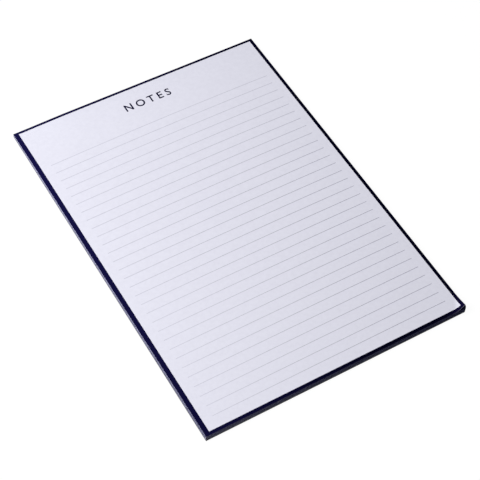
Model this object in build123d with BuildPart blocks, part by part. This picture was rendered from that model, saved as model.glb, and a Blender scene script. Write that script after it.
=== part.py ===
from build123d import *
import os
from math import cos, degrees, hypot, radians, sin

# A glued A5 tear-off notepad lying flat, in millimetres: X across the sheet, Y from foot to bound head, Z up.
# The origin is the middle of the underside.

# Sheets
sheet_width = 148.0
sheet_length = 210.0
sheet_thickness = 0.09
sheet_count = 25

# Air between two loose sheets at the free foot edge, where nothing presses them together
foot_air = 0.05

# Grey board under the sheets
board_thickness = 0.7

# Film of padding glue over the head edge
glue_thickness = 0.3
glue_round = 0.12

# Slightly worn corner at the right end of the foot edge
worn_corner_radius = 0.2

# Dog-eared corner of the top leaves, above the worn one: a slight crease, and a curl from there to the tip
lifted_sheets = 3
crease_on_foot = 7.1
crease_on_side = 11.0
crease_angle = 8.0
curl_radius = 8.2
worn_tip_radius = 0.25

# Room that cutting shapes reach past what they cut
overrun = 1.0

# Heights of the stack at the two ends, and of the leaves that lift
head_height = sheet_count * sheet_thickness
foot_height = sheet_count * (sheet_thickness + foot_air)
leaf_height = lifted_sheets * (sheet_thickness + foot_air)

# Levels at the two ends: the top of the stack, and the seat that the lifted leaves part from
head_top = board_thickness + head_height
foot_top = board_thickness + foot_height
head_seat = head_top - leaf_height
foot_seat = foot_top - leaf_height

# Outer limits of the sheets
right_x = sheet_width / 2
foot_y = -(sheet_length + glue_thickness) / 2
head_y = foot_y + sheet_length

# Seen from above, the crease and the two sheet edges make a right triangle. Its height runs from the crease
# to the tip of the corner, and splits the crease in two.
crease_length = hypot(crease_on_foot, crease_on_side)
crease_to_foot = crease_on_foot**2 / crease_length
tip_distance = crease_on_foot * crease_on_side / crease_length

# How far the tip of the curled corner still reaches from the crease, and how high it stands
start_turn = radians(crease_angle)
tip_turn = tip_distance / curl_radius
tip_reach = curl_radius * (sin(start_turn + tip_turn) - sin(start_turn))
tip_lift = curl_radius * (cos(start_turn) - cos(start_turn + tip_turn))

# The crease lies on the seat, which falls a little towards the head
crease_fall = (foot_seat - head_seat) * crease_on_side / sheet_length
crease_foot = Vector(right_x - crease_on_foot, foot_y, foot_seat)
crease_side = Vector(right_x, foot_y + crease_on_side, foot_seat - crease_fall)
crease_line = crease_side - crease_foot
crease_middle = crease_foot + crease_line * (crease_to_foot / crease_length)
outward = Vector(crease_on_side, -crease_on_foot, 0).normalized()
tip = crease_middle + outward * tip_reach
curl_section = Plane(origin=crease_middle, x_dir=outward, z_dir=(-crease_on_foot, -crease_on_side, 0))

# Curled corner: an arc section drawn along the crease, trimmed to the corner's outline from above. The two
# edges of that outline leave the straight sheet edges smoothly and bend inward to the tip.
with BuildPart() as curled_corner:
    with BuildSketch(curl_section):
        with BuildLine():
            rise = (cos(start_turn), sin(start_turn))
            curl_sweep = degrees(tip_turn + overrun / curl_radius)
            under = JernArc(start=(0, 0), tangent=rise, radius=curl_radius, arc_size=curl_sweep)
            over = JernArc(start=(0, leaf_height), tangent=rise, radius=curl_radius, arc_size=curl_sweep)
            Line(under @ 0, over @ 0)
            Line(under @ 1, over @ 1)
        make_face()
    extrude(amount=crease_length, dir=crease_line, both=True)
    with BuildSketch() as corner_outline:
        with BuildLine():
            foot_edge = TangentArc(
                (crease_foot.X, crease_foot.Y), (tip.X, tip.Y), tangent=Axis.X.direction
            )
            side_edge = TangentArc(
                (crease_side.X, crease_side.Y), (tip.X, tip.Y), tangent=-Axis.Y.direction
            )
            Line(side_edge @ 0, foot_edge @ 0)
        make_face()
        tip_vertex = corner_outline.vertices().sort_by_distance((tip.X, tip.Y, 0))[0]
        fillet(tip_vertex, radius=worn_tip_radius)
    extrude(amount=foot_top + tip_lift + overrun, mode=Mode.INTERSECT)

# Top leaves, flat up to the crease
with BuildPart() as top_leaves:
    with BuildSketch(Plane.YZ.offset(-right_x)):
        with BuildLine():
            Polyline(
                (foot_y, foot_seat), (head_y, head_seat), (head_y, head_top), (foot_y, foot_top), close=True
            )
        make_face()
    extrude(amount=sheet_width)
    with BuildSketch():
        with BuildLine():
            Polyline(
                (crease_foot.X, crease_foot.Y), (right_x, foot_y), (crease_side.X, crease_side.Y), close=True
            )
        make_face()
    extrude(amount=foot_top + overrun, mode=Mode.SUBTRACT)

# All sheets as one block, thicker at the loose foot than at the bound head
with BuildPart() as page_block:
    with BuildSketch(Plane.YZ.offset(-right_x)):
        with BuildLine():
            Polyline(
                (foot_y, board_thickness),
                (head_y, board_thickness),
                (head_y, head_seat),
                (foot_y, foot_seat),
                close=True,
            )
        make_face()
    extrude(amount=sheet_width)
    uprights = page_block.edges().filter_by(Axis.Z)
    fillet(uprights.sort_by_distance((right_x, foot_y, board_thickness))[0], radius=worn_corner_radius)
    add(top_leaves.part)
    add(curled_corner.part)

# Backing board, trimmed with the sheets and worn at the same corner
with BuildPart() as backing_board:
    with BuildSketch(Plane.XY):
        with Locations((0, foot_y)):
            Rectangle(sheet_width, sheet_length, align=(Align.CENTER, Align.MIN))
    extrude(amount=board_thickness)
    uprights = backing_board.edges().filter_by(Axis.Z)
    fillet(uprights.sort_by_distance((right_x, foot_y, 0))[0], radius=worn_corner_radius)

# Glue film that holds the sheets and the board together at the head
with BuildPart() as binding_glue:
    with BuildSketch(Plane.XZ.offset(-head_y)):
        Rectangle(sheet_width, head_top, align=(Align.CENTER, Align.MIN))
    extrude(amount=-glue_thickness)
    fillet(binding_glue.faces().sort_by(Axis.Y)[-1].edges(), radius=glue_round)

os.makedirs("parts", exist_ok=True)

page_block.part.label = "page_block"
export_step(page_block.part, "parts/page_block.step")

backing_board.part.label = "backing_board"
export_step(backing_board.part, "parts/backing_board.step")

binding_glue.part.label = "binding_glue"
export_step(binding_glue.part, "parts/binding_glue.step")
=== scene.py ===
import math
import random

import bmesh
import bpy
from mathutils import Matrix, Vector, noise


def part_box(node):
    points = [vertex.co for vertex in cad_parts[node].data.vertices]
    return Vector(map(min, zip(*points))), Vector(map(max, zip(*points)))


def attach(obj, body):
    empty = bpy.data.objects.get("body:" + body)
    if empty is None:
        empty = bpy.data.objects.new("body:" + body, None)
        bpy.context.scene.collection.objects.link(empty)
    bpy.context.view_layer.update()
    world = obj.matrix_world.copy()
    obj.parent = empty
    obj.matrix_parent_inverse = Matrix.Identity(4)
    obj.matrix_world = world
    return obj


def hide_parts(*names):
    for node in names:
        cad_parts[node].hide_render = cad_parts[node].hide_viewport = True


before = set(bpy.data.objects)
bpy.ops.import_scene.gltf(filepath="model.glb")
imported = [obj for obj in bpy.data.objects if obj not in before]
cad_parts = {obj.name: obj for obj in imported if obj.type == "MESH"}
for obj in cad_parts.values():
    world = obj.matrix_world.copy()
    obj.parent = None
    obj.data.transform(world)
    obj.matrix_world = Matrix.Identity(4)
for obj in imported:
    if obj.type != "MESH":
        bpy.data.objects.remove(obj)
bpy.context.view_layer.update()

# Sizes are in millimetres where nothing else is said, and become metres when a mesh is made.
MM = 0.001

# Stack of sheets, as the part has it, with all the air between the sheets at the foot
SHEET_COUNT = 25
SHEET_THICKNESS = 0.09
FOOT_AIR_ALL = 1.25
WORN_CORNER_RADIUS = 0.2
LIFTED_SHEETS = 3
CREASE_ON_FOOT = 7.1
CREASE_ON_SIDE = 11.0

# Curl of the lifted leaves: they turn by this angle, in degrees, on this radius and run straight on to
# the worn tip.
CURL_ANGLE = 41.5
CURL_RADIUS = 5.3
WORN_TIP_RADIUS = 0.08

# Sheets under the lifted leaves that fan out below them, and the shares of the curl's angle that are
# kept by the lowest lifted leaf, the top sheet of the fan and its lowest one. The fan opens more
# towards its top.
FANNED_SHEETS = 7
LOWEST_LEAF_SHARE = 0.97
FAN_TOP_SHARE = 0.72
FAN_LOW_SHARE = 0.03
FAN_OPENING = 1.5
FAN_TOP = SHEET_COUNT - LIFTED_SHEETS - 1
LOWEST_BENT = SHEET_COUNT - LIFTED_SHEETS - FANNED_SHEETS

# Corner at the left end of the head, knocked a little flat: how far that reaches, and how much at most
KNOCKED_ACROSS = 34.0
KNOCKED_DOWN = 26.0
KNOCKED_SHARE = 0.25

# Air under each sheet, a wave along the foot: ranges for its weight, for its swing as a share of that,
# and for the wave's length and phase. The lifted leaves lie closer, by a share.
AIR_WEIGHT = (0.4, 1.6)
AIR_SWING = (0.2, 0.7)
AIR_WAVELENGTH = (60, 170)
AIR_PHASE = (0, 1)
LEAF_AIR_SHARE = 0.15

# Sheets are never quite flush: how far an edge may lie inside the outline, at the sides and the foot
SIDE_SLIP = 0.04
FOOT_SLIP = 0.05
STACK_SEED = 11

# Bleed border, as its width along each edge
BORDER_LEFT = 2.58
BORDER_RIGHT = 1.9
BORDER_FOOT = 1.78
BORDER_HEAD = 1.48

# Ruling: the lines are counted from the foot, and their ends keep off the left and right edges. They bow
# down to both sides of a middle, and the bow grows towards the head.
LINE_COUNT = 30
LINE_PITCH = 5.975
LINE_WIDTH = 0.25
LINE_LEFT = 8.1
LINE_RIGHT = 6.9
FIRST_LINE = 8.24
LINE_BOW = 0.91
LINE_BOW_MIDDLE = 19.0
LINE_STEPS = 16

# Heading. Its depth is only there to tell the letters' two faces apart.
HEADING_WORD = "NOTES"
HEADING_MIDDLE = 0.4
HEADING_FROM_HEAD = 13.0
HEADING_CAP_HEIGHT = 4.8
HEADING_SPACING = 1.5
HEADING_BOLDNESS = 0.016
HEADING_DEPTH = 0.5
HEADING_CURVE_STEPS = 6
HEADING_WELD = 0.001

# Films of ink: how far they stand above the paper and reach into it
FILM = 0.02
FILM_SINK = 0.006

# Glue film on the head edge: the share of its thickness where the brush left least, the square of the
# share left at its rim, how wide the rim is, how long the brush strokes are, how many go to a
# millimetre of height, and where in the noise they lie
GLUE_THIN_SHARE = 0.3
GLUE_RIM_SQUARE = 0.06
GLUE_RIM_WIDTH = 0.5
GLUE_STROKE_LENGTH = 9.0
GLUE_STROKES_UP = 1.7
GLUE_NOISE_PLACE = 3.0

# Grids of the sheets: counts of steps, and margins that the coarser lines keep off the corners. A line
# that is closer to the one before it than the least step is dropped, and so is one that crowds the
# border's inner edge.
LEAST_STEP = 0.05
CROWDING = 0.2
CURL_MARGIN = 2
CURL_COLUMN_COUNT = 26
CURL_ROW_COUNT = 36
KNOCKED_COLUMN_COUNT = 8
KNOCKED_ROW_COUNT = 7
FINE_COLUMN_COUNT = 14
FINE_COLUMN_MARGIN = 3
FINE_ROW_COUNT = 8
FINE_ROW_MARGIN = 20
COARSE_COLUMN_COUNT = 30
COARSE_COLUMN_MARGIN = 3
COARSE_ROW_COUNT = 8
COARSE_ROW_MARGIN = 6
CORNER_STEPS = [0.0, 0.06, 0.13, 0.2]

# Grid of the glue film, and its steps at the rim
GLUE_COLUMN_COUNT = 146
GLUE_COLUMN_MARGIN = 1
GLUE_ROW_COUNT = 8
GLUE_ROW_MARGIN = 0.7
GLUE_RIM_STEPS = [0.0, 0.08, 0.2, 0.36, 0.5]

# Edges that turn by more than this, in degrees, are shaded sharp.
SHARP_ANGLE = 25

# Camera, found from the photograph's edges: angles in degrees
CAMERA_AZIMUTH = 32.986
CAMERA_ELEVATION = 53.827
CAMERA_ROLL = -3.371
CAMERA_PLACE = (-237.958, -376.633, 593.202)
CAMERA_LENS = 107.5
SENSOR_WIDTH = 36.0

# Light and floor: metres and watts, and the floor's drop below the part in millimetres
KEY_PLACE = (-0.63, 0.14, 0.766)
KEY_AIM = (0.2, 0.24, 0.0)
KEY_SIZE = 0.6
KEY_POWER = 12.4
FILL_LEVEL = 0.09
FLOOR_SIZE = 12.0
FLOOR_DROP = 0.02
FLOOR_BOUNCE = (0.22, 0.22, 0.22, 1.0)
FLOOR_SHADE = (0.06, 0.06, 0.06, 1.0)
FLOOR_GLOW = 0.96

# Colours, linear
WHITE = (1.0, 1.0, 1.0, 1.0)
PAPER = (0.787, 0.785, 0.887, 1.0)
PAPER_SHADE = (0.755, 0.752, 0.854, 1.0)
EDGE_LIGHT = (0.66, 0.66, 0.92, 1.0)
EDGE_DARK = (0.52, 0.52, 0.76, 1.0)
# Painted shade: the cut edges darken towards the right, away from the lamp.
EDGE_SHADE_RIGHT = (0.21, 0.22, 0.33, 1.0)
# The long sides darken towards the foot.
EDGE_TOWARDS_FOOT = (0.58, 0.58, 0.61, 1.0)
# The foot edges darken higher up the stack.
EDGE_FOOT_LOW = (0.78, 0.78, 0.80, 1.0)
EDGE_FOOT_HIGH = (0.43, 0.43, 0.56, 1.0)
# Pale colour for a scuff on the foot edge and a painted highlight at the front-left corner.
EDGE_SCUFF_AND_HIGHLIGHT = (0.80, 0.80, 0.86, 1.0)
# Painted highlight along the edges of the dog-ear's leaves.
LEAF_EDGE_HIGHLIGHT = (0.74, 0.72, 1.0, 1.0)
# The navy's thin and full ends also stand for painted light at the left and head and painted shade at the
# right and foot.
NAVY_THIN_LIT = (0.0070, 0.0060, 0.052, 1.0)
NAVY_FULL_SHADED = (0.0001, 0.0001, 0.0065, 1.0)
# Paler navy round the dog-ear's tip.
NAVY_PALE_TIP = (0.0042, 0.0028, 0.024, 1.0)
# The ruling's thin end is the paper's own colour, where painted glare washes a line out.
LINE_GREY_THIN_GLARED = (0.775, 0.772, 0.874, 1.0)
LINE_GREY_FULL = (0.326, 0.325, 0.405, 1.0)
BOARD_GREY = (0.165, 0.168, 0.160, 1.0)
BOARD_DARK = (0.095, 0.097, 0.094, 1.0)
BOARD_FLECK = (0.36, 0.35, 0.32, 1.0)
GLUE_THICK_COLOUR = (0.70, 0.70, 0.69, 1.0)
GLUE_THIN_COLOUR = (0.42, 0.43, 0.52, 1.0)

# Noise patterns: scale to a metre, how much closer along each axis, detail and roughness
PAPER_CLOUD = dict(scale=480.0, detail=5.0)
PAPER_FIBRE = dict(scale=2600.0, stretch=(1.0, 0.45, 1.0), detail=3.0)
EDGE_LAYERS = dict(scale=60.0, stretch=(1.0, 1.0, 120.0), detail=3.0)
EDGE_FIBRE = dict(scale=3000.0, detail=2.0)
NAVY_SPECKLE = dict(scale=500.0, detail=5.0, roughness=0.7)
LINE_SPECKLE = dict(scale=300.0, detail=5.0, roughness=0.7)
BOARD_PULP = dict(scale=420.0, stretch=(1.0, 0.6, 1.0), detail=7.0, roughness=0.75)
BOARD_FIBRE = dict(scale=1800.0, stretch=(1.0, 0.4, 1.0), detail=3.0)
GLUE_STREAKS = dict(scale=160.0, stretch=(0.18, 1.0, 3.2), detail=5.0, roughness=0.65)

# Colours over those patterns, as stops of a ramp
PAPER_STOPS = [(0.30, PAPER_SHADE), (0.62, PAPER)]
EDGE_STOPS = [(0.32, EDGE_DARK), (0.70, EDGE_LIGHT)]
BOARD_STOPS = [(0.30, BOARD_DARK), (0.45, BOARD_GREY), (0.66, BOARD_GREY), (0.80, BOARD_FLECK)]
GLUE_STOPS = [(0.34, GLUE_THIN_COLOUR), (0.62, GLUE_THICK_COLOUR)]

# Surfaces: roughness from the low to the high end of a pattern, strength and depth of the relief in
# metres, and how much they shine
PAPER_SURFACE = dict(roughness=(0.78, 0.94), relief=0.12, depth=0.00003, shine=0.25)
EDGE_SURFACE = dict(roughness=(0.82, 0.96), relief=0.2, depth=0.00003, shine=0.15)
INK_SURFACE = dict(roughness=(0.6, 0.8), relief=0.1, depth=0.00002, shine=0.01)
BOARD_SURFACE = dict(roughness=(0.8, 0.95), relief=0.3, depth=0.00005, shine=0.2)
GLUE_SURFACE = dict(roughness=(0.5, 0.3), relief=0.3, depth=0.00006, shine=0.5)

# Ink: how uneven it is, and the density at which it is full. The navy is painted darker towards the right
# and, by a share, the foot, and paler towards the left: painted shade and light. The ruling is paler at
# the head and, away from the head, towards the left: painted glare. The fades run between two shares of
# the length, counted from the head.
INK_SPECKLE = 0.3
INK_FULL = 0.9
NAVY_SHADE_DOWN_SHARE = 0.33
RULING_FULL = 0.85
RULING_HEAD_SHARE = 0.47
RULING_HEAD_FADE = (0.12, 0.55)
RULING_LEFT_LOSS = 0.66
RULING_LEFT_FADE = (0.05, 0.65)

# Darkening of the foot edges, more so higher up the stack: how deep in from the foot, and the heights it
# grows between
FOOT_TINT_DEPTH = 0.42
FOOT_TINT_RISE = (1.9, 4.1)

# Limits of the pieces, from the frame
page_low, page_high = (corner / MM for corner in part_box("page_block"))
board_top = max((corner / MM).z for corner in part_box("backing_board"))
glue_low, glue_high = (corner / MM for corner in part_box("binding_glue"))
left_x, right_x = page_low.x, page_high.x
foot_y, head_y = page_low.y, page_high.y
sheet_length = head_y - foot_y

# Places on the cut edges and the ink that are made pale: where, how wide in all and at the core, and
# how pale. The spots at the front-left corner and on the dog-ear's leaf edges are painted highlights, the
# one on the foot edge is a scuff, and the navy is paler round the dog-ear's tip.
SCUFFS_AND_HIGHLIGHT = [
    # Painted highlight where the front-left corner catches the light.
    ((left_x, foot_y, 2.5), 0.9, 0.3, EDGE_SCUFF_AND_HIGHLIGHT),
    ((-34.7, foot_y, 3.2), 0.5, 0.2, EDGE_SCUFF_AND_HIGHLIGHT),
]
# A painted highlight along the dog-ear's leaf edges is added to the spots.
LEAF_SCUFFS_AND_HIGHLIGHTS = SCUFFS_AND_HIGHLIGHT + [((right_x, foot_y, 5.5), 9.0, 6.2, LEAF_EDGE_HIGHLIGHT)]
# The navy is paler round the dog-ear's tip.
INK_PALE_TIP = [((right_x, foot_y, 6.5), 12.0, 5.0, NAVY_PALE_TIP)]


# Materials
def new_material(name):
    """A node material with a Principled shader, and that shader."""
    material = bpy.data.materials.new(name)
    material.use_nodes = True
    nodes = material.node_tree.nodes
    shader = next(n for n in nodes if n.type == "BSDF_PRINCIPLED")
    return material, shader


def add_node(material, kind, **values):
    """Adds a node and sets its properties, or its inputs where a name is an input's."""
    node = material.node_tree.nodes.new(kind)
    for key, value in values.items():
        if key in node.inputs:
            node.inputs[key].default_value = value
        else:
            setattr(node, key, value)
    return node


def link(material, source, target):
    material.node_tree.links.new(source, target)


def stretched_noise(material, scale, detail, stretch=(1, 1, 1), roughness=0.6):
    """Noise in the object's own metres, closer along the axes by stretch."""
    place = add_node(material, "ShaderNodeTexCoord")
    mapping = add_node(material, "ShaderNodeMapping", Scale=stretch)
    pattern = add_node(
        material, "ShaderNodeTexNoise", Scale=scale, Detail=detail, Roughness=roughness
    )
    link(material, place.outputs["Object"], mapping.inputs["Vector"])
    link(material, mapping.outputs["Vector"], pattern.inputs["Vector"])
    return pattern.outputs["Fac"]


def ramp(material, value, stops):
    """A colour ramp over value, from (position, colour) stops."""
    node = add_node(material, "ShaderNodeValToRGB")
    elements = node.color_ramp.elements
    for element, (position, colour) in zip(elements, stops):
        element.position = position
        element.color = colour
    for position, colour in stops[len(elements):]:
        elements.new(position).color = colour
    link(material, value, node.inputs["Fac"])
    return node.outputs["Color"]


def surface(material, shader, pattern, roughness, relief, depth, shine):
    """Roughness and relief that follow a pattern, and the shine."""
    low, high = roughness
    rough = add_node(material, "ShaderNodeMapRange", **{"To Min": low, "To Max": high})
    link(material, pattern, rough.inputs["Value"])
    link(material, rough.outputs["Result"], shader.inputs["Roughness"])
    bump = add_node(material, "ShaderNodeBump", Strength=relief, Distance=depth)
    link(material, pattern, bump.inputs["Height"])
    link(material, bump.outputs["Normal"], shader.inputs["Normal"])
    shader.inputs["Specular IOR Level"].default_value = shine


def between(material, axis, start, end):
    """0 where the object's own coordinate is at start, and 1 where it is at end."""
    place = add_node(material, "ShaderNodeTexCoord")
    split = add_node(material, "ShaderNodeSeparateXYZ")
    share = add_node(
        material, "ShaderNodeMapRange", **{"From Min": start * MM, "From Max": end * MM}
    )
    link(material, place.outputs["Object"], split.inputs["Vector"])
    link(material, split.outputs[axis], share.inputs["Value"])
    return share.outputs["Result"]


def mixed(material, first, second, share):
    """A colour between two others, the second where share is 1."""
    node = add_node(material, "ShaderNodeMix", data_type="RGBA")
    link(material, share, node.inputs["Factor"])
    link(material, first, node.inputs["A"])
    link(material, second, node.inputs["B"])
    return node.outputs["Result"]


def tinted(material, colour, tint):
    """A colour multiplied by another."""
    node = add_node(material, "ShaderNodeMix", data_type="RGBA", blend_type="MULTIPLY")
    node.inputs["Factor"].default_value = 1.0
    link(material, colour, node.inputs["A"])
    link(material, tint, node.inputs["B"])
    return node.outputs["Result"]


def scuffed_and_highlit(material, colour, spot, radius, core, pale):
    """A colour made pale around a spot, for scuffs and for painted highlights: fully within the core, and
    fading out to the radius.
    """
    place = add_node(material, "ShaderNodeTexCoord")
    away = add_node(material, "ShaderNodeVectorMath", operation="DISTANCE")
    away.inputs[1].default_value = [v * MM for v in spot]
    wear = add_node(
        material, "ShaderNodeMapRange", **{"From Min": radius * MM, "From Max": core * MM}
    )
    node = add_node(material, "ShaderNodeMix", data_type="RGBA")
    node.inputs["B"].default_value = pale
    link(material, place.outputs["Object"], away.inputs[0])
    link(material, away.outputs["Value"], wear.inputs["Value"])
    link(material, wear.outputs["Result"], node.inputs["Factor"])
    link(material, colour, node.inputs["A"])
    return node.outputs["Result"]


def paper_material():
    """Uncoated paper: cloudy formation, fine fibres, matt."""
    material, shader = new_material("paper")
    cloud = stretched_noise(material, **PAPER_CLOUD)
    link(material, ramp(material, cloud, PAPER_STOPS), shader.inputs["Base Color"])
    surface(material, shader, stretched_noise(material, **PAPER_FIBRE), **PAPER_SURFACE)
    return material


def edge_material(name, scuffs_and_highlights):
    """Cut edges of the sheets: each sheet a little lighter or darker, painted shade that darkens them
    towards the right, the long sides darker towards the foot, and the foot edges darker higher up the
    stack."""
    material, shader = new_material(name)
    colour = ramp(material, stretched_noise(material, **EDGE_LAYERS), EDGE_STOPS)
    to_right = between(material, "X", left_x, right_x)
    to_foot = between(material, "Y", head_y, foot_y)
    at_foot = between(material, "Y", foot_y + FOOT_TINT_DEPTH, foot_y)
    up_stack = between(material, "Z", *FOOT_TINT_RISE)
    # Painted shade, darker towards the right.
    right_shade = ramp(material, to_right, [(0.0, WHITE), (1.0, EDGE_SHADE_RIGHT)])
    # The long sides darken towards the foot.
    foot_darkening = ramp(material, to_foot, [(0.0, WHITE), (1.0, EDGE_TOWARDS_FOOT)])
    foot_tint = ramp(material, up_stack, [(0.0, EDGE_FOOT_LOW), (1.0, EDGE_FOOT_HIGH)])
    colour = tinted(material, colour, right_shade)
    colour = tinted(material, colour, mixed(material, foot_darkening, foot_tint, at_foot))
    for pale_mark in scuffs_and_highlights:
        colour = scuffed_and_highlit(material, colour, *pale_mark)
    link(material, colour, shader.inputs["Base Color"])
    surface(material, shader, stretched_noise(material, **EDGE_FIBRE), **EDGE_SURFACE)
    return material


def navy_painted_shade(material):
    """Painted shade on the navy: darker towards the right and, by a share, the foot, and lighter towards
    the left.
    """
    painted_share = add_node(material, "ShaderNodeMix", data_type="FLOAT", Factor=NAVY_SHADE_DOWN_SHARE)
    link(material, between(material, "X", left_x, right_x), painted_share.inputs["A"])
    link(material, between(material, "Y", head_y, foot_y), painted_share.inputs["B"])
    return painted_share.outputs["Result"]


def ruling_painted_glare(material):
    """Painted glare on the ruling: the lines are paler at the head and, away from the head, towards the
    left, where the light washes them out.
    """

    def down_page(shares):
        return between(material, "Y", *[head_y - sheet_length * share for share in shares])

    from_head = add_node(
        material,
        "ShaderNodeMapRange",
        **{"To Min": RULING_FULL * RULING_HEAD_SHARE, "To Max": RULING_FULL},
    )
    loss = add_node(material, "ShaderNodeMath", operation="MULTIPLY")
    kept = add_node(
        material, "ShaderNodeMapRange", **{"To Min": 1.0, "To Max": 1.0 - RULING_LEFT_LOSS}
    )
    painted_share = add_node(material, "ShaderNodeMath", operation="MULTIPLY")
    link(material, down_page(RULING_HEAD_FADE), from_head.inputs["Value"])
    link(material, down_page(RULING_LEFT_FADE), loss.inputs[0])
    link(material, between(material, "X", right_x, left_x), loss.inputs[1])
    link(material, loss.outputs["Value"], kept.inputs["Value"])
    link(material, from_head.outputs["Result"], painted_share.inputs[0])
    link(material, kept.outputs["Result"], painted_share.inputs[1])
    return painted_share.outputs["Value"]


def ink_material(name, thin, full, speckle, painted_shading, scuffs_and_highlights=()):
    """Flat ink on paper, uneven in density, with painted light and shade across the sheet added to it."""
    material, shader = new_material(name)
    density = add_node(material, "ShaderNodeMath", operation="MULTIPLY_ADD")
    density.inputs[1].default_value = INK_SPECKLE
    link(material, stretched_noise(material, **speckle), density.inputs[0])
    link(material, painted_shading(material), density.inputs[2])
    stops = [(INK_SPECKLE / 2, thin), (INK_FULL, full)]
    colour = ramp(material, density.outputs["Value"], stops)
    for pale_mark in scuffs_and_highlights:
        colour = scuffed_and_highlit(material, colour, *pale_mark)
    link(material, colour, shader.inputs["Base Color"])
    surface(material, shader, stretched_noise(material, **PAPER_FIBRE), **INK_SURFACE)
    return material


def board_material():
    """Recycled grey board: mottled pulp with pale and dark flecks."""
    material, shader = new_material("grey_board")
    pulp = stretched_noise(material, **BOARD_PULP)
    link(material, ramp(material, pulp, BOARD_STOPS), shader.inputs["Base Color"])
    surface(material, shader, stretched_noise(material, **BOARD_FIBRE), **BOARD_SURFACE)
    return material


def glue_material():
    """Dried padding glue: milky where it is thick, showing the paper where it is brushed thin."""
    material, shader = new_material("padding_glue")
    streaks = stretched_noise(material, **GLUE_STREAKS)
    link(material, ramp(material, streaks, GLUE_STOPS), shader.inputs["Base Color"])
    surface(material, shader, streaks, **GLUE_SURFACE)
    return material


# Meshes
class Slabs:
    """Closed slabs made of grid cells, gathered into one mesh. Faces take one material for the top, one
    for the underside and one for the walls."""

    def __init__(self):
        self.points = []
        self.faces = []
        self.slots = []

    def add(self, columns, rows, low, high, keep=None, top_slot=None, under_slot=0, wall_slot=0):
        """low and high place a grid point on the underside and the top. keep says which cells stay."""
        places = {}

        def corner(i, j, level):
            key = (i, j, level)
            if key not in places:
                places[key] = len(self.points)
                self.points.append((high if level else low)(columns[i], rows[j]))
            return places[key]

        def face(slot, *corners):
            self.faces.append([corner(*c) for c in corners])
            self.slots.append(slot)

        def middle(i, j):
            return (columns[i] + columns[i + 1]) / 2, (rows[j] + rows[j + 1]) / 2

        kept = {
            (i, j)
            for i in range(len(columns) - 1)
            for j in range(len(rows) - 1)
            if keep is None or keep(*middle(i, j))
        }
        for i, j in sorted(kept):
            top = top_slot(*middle(i, j)) if top_slot else wall_slot
            face(top, (i, j, 1), (i + 1, j, 1), (i + 1, j + 1, 1), (i, j + 1, 1))
            face(under_slot, (i, j, 0), (i, j + 1, 0), (i + 1, j + 1, 0), (i + 1, j, 0))
            if (i, j - 1) not in kept:
                face(wall_slot, (i, j, 0), (i + 1, j, 0), (i + 1, j, 1), (i, j, 1))
            if (i + 1, j) not in kept:
                face(wall_slot, (i + 1, j, 0), (i + 1, j + 1, 0), (i + 1, j + 1, 1), (i + 1, j, 1))
            if (i, j + 1) not in kept:
                face(wall_slot, (i + 1, j + 1, 0), (i, j + 1, 0), (i, j + 1, 1), (i + 1, j + 1, 1))
            if (i - 1, j) not in kept:
                face(wall_slot, (i, j + 1, 0), (i, j, 0), (i, j, 1), (i, j + 1, 1))

    def piece(self, name, materials, slot=None):
        """The slabs as one piece on the part's body."""
        mesh = bpy.data.meshes.new(name)
        mesh.from_pydata([Vector(p) * MM for p in self.points], [], self.faces)
        for material in materials:
            mesh.materials.append(material)
        mesh.polygons.foreach_set("material_index", self.slots)
        return finish_piece(mesh, name)


def finish_piece(mesh, name):
    """Shades a mesh, puts it in the scene and lets it ride on the part."""
    mesh.shade_smooth()
    mesh.set_sharp_from_angle(angle=math.radians(SHARP_ANGLE))
    mesh.update()
    piece = bpy.data.objects.new(name, mesh)
    bpy.context.scene.collection.objects.link(piece)
    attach(piece, "root")
    return piece


# Grid lines
def spread(start, end, count):
    """Values from start to end, both included, in count equal steps."""
    return [start + (end - start) * k / count for k in range(count + 1)]


def merged(*lists):
    """Sorted grid lines with near doubles dropped."""
    lines = []
    for value in sorted(v for values in lists for v in values):
        if not lines or value - lines[-1] > LEAST_STEP:
            lines.append(value)
    return lines


def without(lines, value):
    """Grid lines with those that crowd a value dropped, and the value put in."""
    return sorted([v for v in lines if abs(v - value) > CROWDING] + [value])


# Shape of the stack
crease_length = math.hypot(CREASE_ON_FOOT, CREASE_ON_SIDE)
crease_out = Vector((CREASE_ON_SIDE, -CREASE_ON_FOOT)) / crease_length
crease_start = Vector((right_x - CREASE_ON_FOOT, foot_y))


def looseness(y):
    """0 at the pressed head and 1 at the free foot."""
    return (head_y - y) / sheet_length


def make_gaps():
    """A function that gives all the air below a sheet at the foot, at some x."""
    draw = random.Random(STACK_SEED)
    ranges = (AIR_WEIGHT, AIR_SWING, AIR_WAVELENGTH, AIR_PHASE)
    waves = [[draw.uniform(*limits) for limits in ranges] for _ in range(SHEET_COUNT)]

    def weights(x):
        loose = [
            base * (1 + swing * math.sin(math.tau * (x / length + phase)))
            for base, swing, length, phase in waves
        ]
        return [
            weight * LEAF_AIR_SHARE if index > FAN_TOP + 1 else weight
            for index, weight in enumerate(loose)
        ]

    def air_under(index, x):
        all_weights = weights(x)
        return FOOT_AIR_ALL * sum(all_weights[: index + 1]) / sum(all_weights)

    return air_under


air_under = make_gaps()


def underside(index, x, y):
    """Height of the underside of a sheet, counted from the bottom."""
    return board_top + index * SHEET_THICKNESS + air_under(index, x) * looseness(y)


def eased(value):
    """0 up to 0, 1 from 1, and a smooth step between them."""
    value = min(1.0, max(0.0, value))
    return value * value * (3 - 2 * value)


def knocked(x, y, z):
    """A height in the stack, lowered near the knocked corner at the left end of the head."""
    near = eased(1 - (x - left_x) / KNOCKED_ACROSS) * eased(1 - (head_y - y) / KNOCKED_DOWN)
    return z - KNOCKED_SHARE * near * max(0.0, z - board_top)


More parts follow.
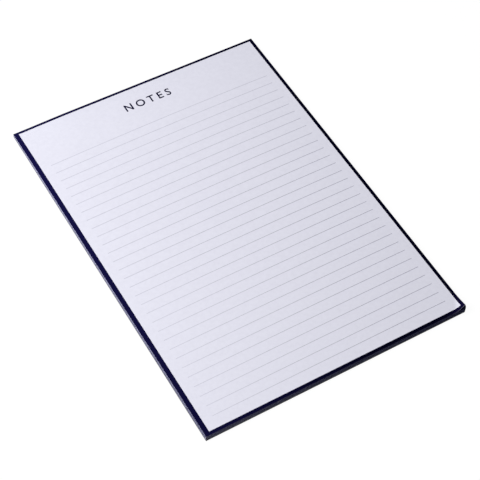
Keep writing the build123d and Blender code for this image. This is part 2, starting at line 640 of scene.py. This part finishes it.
def bend(x, y, height, share):
    """Where a point of the bent sheets goes when their corner turns up. height is above what the sheet
    lay on, before the bend in the call and after it in the result."""
    beyond = (Vector((x, y)) - crease_start).dot(crease_out)
    if beyond <= 0:
        return x, y, height
    angle = min(beyond / CURL_RADIUS, math.radians(CURL_ANGLE) * share)
    straight = beyond - CURL_RADIUS * angle
    radius = CURL_RADIUS - height
    reach = radius * math.sin(angle) + straight * math.cos(angle)
    lift = CURL_RADIUS - radius * math.cos(angle) + straight * math.sin(angle)
    pulled = crease_out * (reach - beyond)
    return x + pulled.x, y + pulled.y, lift


def round_corner(x, y, radius):
    """Keeps a point inside the arc of the worn corner at the right end of the foot edge."""
    centre = Vector((right_x - radius, foot_y + radius))
    away = Vector((x, y)) - centre
    if away.x > 0 > away.y and away.length > radius:
        away *= radius / away.length
        return centre.x + away.x, centre.y + away.y
    return x, y


def bend_share(index):
    """How much of the curl's angle a bent sheet keeps, counted from the bottom of the stack."""
    if index > FAN_TOP:
        rise = (index - FAN_TOP - 1) / (LIFTED_SHEETS - 1)
        return LOWEST_LEAF_SHARE + (1 - LOWEST_LEAF_SHARE) * rise
    rise = ((index - LOWEST_BENT) / (FANNED_SHEETS - 1)) ** FAN_OPENING
    return FAN_LOW_SHARE + (FAN_TOP_SHARE - FAN_LOW_SHARE) * rise


def leaf_point(x, y, z, index):
    """A point of a bent sheet, given where it would lie if the sheet were flat. The lifted leaves turn as
    one pack, and the sheets of the fan one by one."""
    seat = underside(min(index, FAN_TOP + 1), x, y)
    new_x, new_y, height = bend(*round_corner(x, y, WORN_TIP_RADIUS), z - seat, bend_share(index))
    return new_x, new_y, knocked(x, y, seat + height)


def page_point(x, y, height=0.0):
    """A point on the printed face of the top sheet, height above the paper."""
    top = board_top + SHEET_COUNT * SHEET_THICKNESS + FOOT_AIR_ALL * looseness(y)
    return leaf_point(x, y, top + height, SHEET_COUNT - 1)


# Grids of the sheets: fine where corners curl or are knocked, with lines on the border's inner edge
inner_left = left_x + BORDER_LEFT
inner_right = right_x - BORDER_RIGHT
inner_foot = foot_y + BORDER_FOOT
inner_head = head_y - BORDER_HEAD
knocked_right = left_x + KNOCKED_ACROSS
knocked_foot = head_y - KNOCKED_DOWN
knocked_columns = spread(left_x, knocked_right, KNOCKED_COLUMN_COUNT)
knocked_rows = spread(knocked_foot, head_y, KNOCKED_ROW_COUNT)
fine_columns = merged(
    knocked_columns,
    spread(knocked_right, right_x - CREASE_ON_FOOT - FINE_COLUMN_MARGIN, FINE_COLUMN_COUNT),
    spread(right_x - CREASE_ON_FOOT - CURL_MARGIN, right_x, CURL_COLUMN_COUNT),
)
fine_rows = merged(
    spread(foot_y, foot_y + CREASE_ON_SIDE + CURL_MARGIN, CURL_ROW_COUNT),
    spread(foot_y + FINE_ROW_MARGIN, knocked_foot, FINE_ROW_COUNT),
    knocked_rows,
)
for inner in (inner_left, inner_right):
    fine_columns = without(fine_columns, inner)
for inner in (inner_foot, inner_head):
    fine_rows = without(fine_rows, inner)
coarse_columns = merged(
    spread(left_x, right_x - COARSE_COLUMN_MARGIN, COARSE_COLUMN_COUNT),
    [inner_left, inner_right],
    [right_x - s for s in CORNER_STEPS],
)
coarse_rows = merged(
    [foot_y + s for s in CORNER_STEPS],
    [inner_foot, inner_head],
    spread(foot_y + COARSE_ROW_MARGIN, knocked_foot, COARSE_ROW_COUNT),
    knocked_rows,
)


def in_border(x, y):
    """Whether a place on the sheet lies in the printed border."""
    return x < inner_left or x > inner_right or y < inner_foot or y > inner_head


# Pieces. The sheets' materials come in this order.
EDGE_SLOT, PAPER_SLOT, INK_SLOT, LEAF_EDGE_SLOT = range(4)


def make_sheets(materials):
    """All sheets under the top one, each a closed slab of its own."""
    draw = random.Random(STACK_SEED + 1)
    slabs = Slabs()
    for index in range(SHEET_COUNT - 1):
        left_gap = draw.uniform(0, SIDE_SLIP)
        right_gap = draw.uniform(0, SIDE_SLIP)
        short = draw.uniform(0, FOOT_SLIP)
        narrowing = 1 - (left_gap + right_gap) / (right_x - left_x)
        slip = (left_gap - right_gap) / 2
        bent = index >= LOWEST_BENT

        def place(x, y, height):
            z = underside(index, x, y) + height
            inner_x = x * narrowing + slip
            inner_y = y + short * looseness(y)
            if bent:
                return leaf_point(inner_x, inner_y, z, index)
            return *round_corner(inner_x, inner_y, WORN_CORNER_RADIUS), knocked(x, y, z)

        slabs.add(
            fine_columns if bent else coarse_columns,
            fine_rows if bent else coarse_rows,
            low=lambda x, y: place(x, y, 0.0),
            high=lambda x, y: place(x, y, SHEET_THICKNESS),
            top_slot=lambda x, y: INK_SLOT if in_border(x, y) else PAPER_SLOT,
            under_slot=PAPER_SLOT,
            wall_slot=LEAF_EDGE_SLOT if index > FAN_TOP else EDGE_SLOT,
        )
    return slabs.piece("page_sheets", materials, "page_paper")


def make_top_sheet(materials):
    """The sheet that shows, with an edge material and a paper one."""
    slabs = Slabs()
    slabs.add(
        fine_columns,
        fine_rows,
        low=lambda x, y: page_point(x, y, -SHEET_THICKNESS),
        high=page_point,
        top_slot=lambda x, y: PAPER_SLOT,
        under_slot=PAPER_SLOT,
        wall_slot=EDGE_SLOT,
    )
    return slabs.piece("top_sheet", materials, "page_paper")


def make_border(material):
    """The bleed border, a film of ink that follows the curled corner."""
    slabs = Slabs()
    slabs.add(
        fine_columns,
        fine_rows,
        low=lambda x, y: page_point(x, y, -FILM_SINK),
        high=lambda x, y: page_point(x, y, FILM),
        keep=in_border,
    )
    return slabs.piece("printed_border", [material])


def make_lines(material):
    """The ruling, one thin film of ink for each line. The lines bow, more so towards the head."""
    columns = spread(left_x + LINE_LEFT, right_x - LINE_RIGHT, LINE_STEPS)
    slabs = Slabs()
    for number in range(LINE_COUNT):
        y = foot_y + FIRST_LINE + number * LINE_PITCH
        bow = LINE_BOW * number / (LINE_COUNT - 1)

        def place(x, y, height):
            return page_point(x, y - bow * ((x - LINE_BOW_MIDDLE) / right_x) ** 2, height)

        slabs.add(
            columns,
            [y - LINE_WIDTH / 2, y + LINE_WIDTH / 2],
            low=lambda x, y: place(x, y, -FILM_SINK),
            high=lambda x, y: place(x, y, FILM),
        )
    return slabs.piece("ruled_lines", [material])


def make_heading(material):
    """A plain heading word in spaced capitals, as a film of ink."""
    text = bpy.data.curves.new("heading_text", "FONT")
    text.body = HEADING_WORD
    text.align_x = "CENTER"
    text.size = 1.0
    text.space_character = HEADING_SPACING
    text.extrude = HEADING_DEPTH
    text.offset = HEADING_BOLDNESS
    text.resolution_u = HEADING_CURVE_STEPS
    drawn = bpy.data.objects.new("heading_text", text)
    bpy.context.scene.collection.objects.link(drawn)
    bpy.context.view_layer.update()
    mesh = bpy.data.meshes.new_from_object(drawn.evaluated_get(bpy.context.evaluated_depsgraph_get()))
    bpy.data.objects.remove(drawn)
    cap_height = max(v.co.y for v in mesh.vertices)
    scale = HEADING_CAP_HEIGHT / cap_height
    for vertex in mesh.vertices:
        x = HEADING_MIDDLE + vertex.co.x * scale
        y = head_y - HEADING_FROM_HEAD + (vertex.co.y - cap_height / 2) * scale
        vertex.co = Vector(page_point(x, y, FILM if vertex.co.z > 0 else -FILM_SINK)) * MM
    welded = bmesh.new()
    welded.from_mesh(mesh)
    bmesh.ops.remove_doubles(welded, verts=welded.verts, dist=HEADING_WELD * MM)
    bmesh.ops.recalc_face_normals(welded, faces=welded.faces)
    welded.to_mesh(mesh)
    welded.free()
    mesh.name = "heading"
    mesh.materials.clear()
    mesh.materials.append(material)
    return finish_piece(mesh, "heading")


def make_glue(material):
    """The brushed glue film over the head edge, uneven in thickness and thin at its rim."""
    full = glue_high.y - glue_low.y

    def thickness(x, z):
        brushed = Vector((x / GLUE_STROKE_LENGTH, z * GLUE_STROKES_UP, GLUE_NOISE_PLACE))
        streak = 0.5 + 0.5 * noise.noise(brushed)
        rim = min(x - glue_low.x, glue_high.x - x, z - glue_low.z, glue_high.z - z)
        inward = min(1.0, max(0.0, rim / GLUE_RIM_WIDTH))
        rounding = math.sqrt(inward * (1 - GLUE_RIM_SQUARE) + GLUE_RIM_SQUARE)
        return full * (GLUE_THIN_SHARE + (1 - GLUE_THIN_SHARE) * streak) * rounding

    def rimmed(start, end, margin, count):
        return merged(
            [start + s for s in GLUE_RIM_STEPS],
            spread(start + margin, end - margin, count),
            [end - s for s in GLUE_RIM_STEPS],
        )

    slabs = Slabs()
    slabs.add(
        rimmed(glue_low.x, glue_high.x, GLUE_COLUMN_MARGIN, GLUE_COLUMN_COUNT),
        rimmed(glue_low.z, glue_high.z, GLUE_ROW_MARGIN, GLUE_ROW_COUNT),
        low=lambda x, z: (x, glue_low.y + thickness(x, z), knocked(x, glue_low.y, z)),
        high=lambda x, z: (x, glue_low.y, knocked(x, glue_low.y, z)),
    )
    return slabs.piece("glue_film", [material], "padding_glue")


# Camera, light and floor
def make_camera():
    """The photograph's camera."""
    azimuth, elevation, roll = (
        math.radians(v) for v in (CAMERA_AZIMUTH, CAMERA_ELEVATION, CAMERA_ROLL)
    )
    forward = Vector(
        (
            math.sin(azimuth) * math.cos(elevation),
            math.cos(azimuth) * math.cos(elevation),
            -math.sin(elevation),
        )
    )
    level_right = Vector((math.cos(azimuth), -math.sin(azimuth), 0.0))
    level_down = forward.cross(level_right)
    right = level_right * math.cos(roll) + level_down * math.sin(roll)
    up = level_right * math.sin(roll) - level_down * math.cos(roll)
    camera = bpy.data.objects.new("camera", bpy.data.cameras.new("camera"))
    camera.data.lens = CAMERA_LENS
    camera.data.sensor_width = SENSOR_WIDTH
    turn = Matrix((right, up, -forward)).transposed().to_4x4()
    camera.matrix_world = Matrix.Translation(Vector(CAMERA_PLACE) * MM) @ turn
    bpy.context.scene.collection.objects.link(camera)
    bpy.context.scene.camera = camera


def make_light():
    """One broad lamp, above the part and to its left."""
    lamp = bpy.data.lights.new("key", "AREA")
    lamp.shape = "DISK"
    lamp.size = KEY_SIZE
    lamp.energy = KEY_POWER
    key = bpy.data.objects.new("key", lamp)
    key.location = KEY_PLACE
    key.rotation_euler = (Vector(KEY_AIM) - Vector(KEY_PLACE)).to_track_quat("-Z", "Y").to_euler()
    bpy.context.scene.collection.objects.link(key)


def seen_ray(tree):
    """1 for camera, mirror and see-through rays, 0 for the light that falls on the part."""
    path = tree.nodes.new("ShaderNodeLightPath")
    total = path.outputs["Is Camera Ray"]
    for name in ("Is Glossy Ray", "Is Transmission Ray"):
        either = tree.nodes.new("ShaderNodeMath")
        either.operation = "MAXIMUM"
        tree.links.new(total, either.inputs[0])
        tree.links.new(path.outputs[name], either.inputs[1])
        total = either.outputs["Value"]
    return total


def make_world():
    """White where it is seen, dim where it lights the part."""
    world = bpy.data.worlds.new("studio")
    world.use_nodes = True
    tree = world.node_tree
    background = next(n for n in tree.nodes if n.type == "BACKGROUND")
    level = tree.nodes.new("ShaderNodeMapRange")
    level.inputs["To Min"].default_value = FILL_LEVEL
    level.inputs["To Max"].default_value = 1.0
    tree.links.new(seen_ray(tree), level.inputs["Value"])
    tree.links.new(level.outputs["Result"], background.inputs["Strength"])
    background.inputs["Color"].default_value = WHITE
    bpy.context.scene.world = world


def make_floor():
    """A white floor that keeps a soft shadow and throws little light back on the part."""
    material = bpy.data.materials.new("floor")
    material.use_nodes = True
    tree = material.node_tree
    tree.nodes.clear()
    output = tree.nodes.new("ShaderNodeOutputMaterial")
    bounce = tree.nodes.new("ShaderNodeBsdfDiffuse")
    bounce.inputs["Color"].default_value = FLOOR_BOUNCE
    shadowed = tree.nodes.new("ShaderNodeBsdfDiffuse")
    shadowed.inputs["Color"].default_value = FLOOR_SHADE
    glow = tree.nodes.new("ShaderNodeEmission")
    glow.inputs["Strength"].default_value = FLOOR_GLOW
    both = tree.nodes.new("ShaderNodeAddShader")
    choose = tree.nodes.new("ShaderNodeMixShader")
    tree.links.new(shadowed.outputs["BSDF"], both.inputs[0])
    tree.links.new(glow.outputs["Emission"], both.inputs[1])
    tree.links.new(seen_ray(tree), choose.inputs["Fac"])
    tree.links.new(bounce.outputs["BSDF"], choose.inputs[1])
    tree.links.new(both.outputs["Shader"], choose.inputs[2])
    tree.links.new(choose.outputs["Shader"], output.inputs["Surface"])
    half = FLOOR_SIZE / 2
    level = -FLOOR_DROP * MM
    mesh = bpy.data.meshes.new("floor")
    mesh.from_pydata(
        [(-half, -half, level), (half, -half, level), (half, half, level), (-half, half, level)],
        [],
        [(0, 1, 2, 3)],
    )
    mesh.materials.append(material)
    floor = bpy.data.objects.new("floor", mesh)
    bpy.context.scene.collection.objects.link(floor)


# The whole scene
paper = paper_material()
page_edge = edge_material("page_edge", SCUFFS_AND_HIGHLIGHT)
leaf_edge = edge_material("leaf_edge", LEAF_SCUFFS_AND_HIGHLIGHTS)
navy = ink_material("navy_ink", NAVY_THIN_LIT, NAVY_FULL_SHADED, NAVY_SPECKLE, navy_painted_shade, INK_PALE_TIP)
grey = ink_material("line_ink", LINE_GREY_THIN_GLARED, LINE_GREY_FULL, LINE_SPECKLE, ruling_painted_glare)

sheets = make_sheets([page_edge, paper, navy, leaf_edge])
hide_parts("page_block")
make_top_sheet([leaf_edge, paper])
make_border(navy)
make_lines(grey)
make_heading(navy)
glue = make_glue(glue_material())
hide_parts("binding_glue")

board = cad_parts["backing_board"]
for board_slot in board.material_slots:
    board_slot.material = board_material()

make_camera()
make_light()
make_world()
make_floor()
bpy.context.scene.view_settings.view_transform = "Standard"
